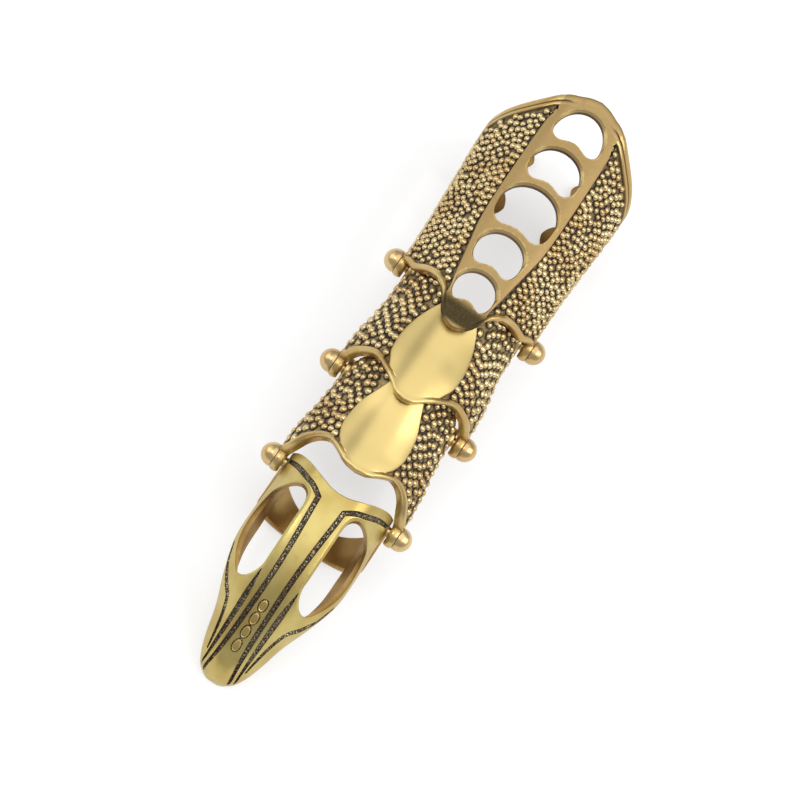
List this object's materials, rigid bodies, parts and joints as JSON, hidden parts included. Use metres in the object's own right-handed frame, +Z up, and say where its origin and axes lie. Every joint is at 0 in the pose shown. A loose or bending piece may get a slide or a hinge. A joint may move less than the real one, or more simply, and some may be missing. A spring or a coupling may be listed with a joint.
{
  "type": "knuckle armor ring",
  "caption": "Full-finger jointed ring: pierced beaded base plate with an open shank, two beaded saddle plates and a pointed claw cap, joined by ball-headed rivets.",
  "frame": {"origin": "centre of the outline seen from above, on the surface that the ring lies on", "axes": "+X across the finger, +Y from the claw's tip to the root of the finger, +Z up through the back of the finger"},
  "size_m": [0.0246, 0.0888, 0.02],
  "materials": {
    "antique_gold": "antique gold plate with dark patina in the recesses",
    "claw_gold": "satin antique gold with dark grooves",
    "ball_gold": "polished antique gold"
  },
  "bodies": {
    "base": {"base_plate": "antique_gold", "root_rivet_left": "ball_gold", "root_rivet_right": "ball_gold"},
    "second": {"second_plate": "antique_gold", "middle_rivet_left": "ball_gold", "middle_rivet_right": "ball_gold"},
    "third": {"third_plate": "antique_gold", "tip_rivet_left": "ball_gold", "tip_rivet_right": "ball_gold"},
    "claw": {"fingertip_claw": "claw_gold"}
  },
  "joints": [
    {"name": "root_hinge", "type": "hinge", "parent": "base", "child": "second", "pos_m": [0, 0.0139, 0.00945], "axis": [1, 0, 0], "range_deg": [0, 55]},
    {"name": "middle_hinge", "type": "hinge", "parent": "second", "child": "third", "pos_m": [0, -0.0024, 0.0088], "axis": [1, 0, 0], "range_deg": [0, 55]},
    {"name": "tip_hinge", "type": "hinge", "parent": "third", "child": "claw", "pos_m": [0, -0.0173, 0.0082], "axis": [1, 0, 0], "range_deg": [-10, 60]}
  ]
}
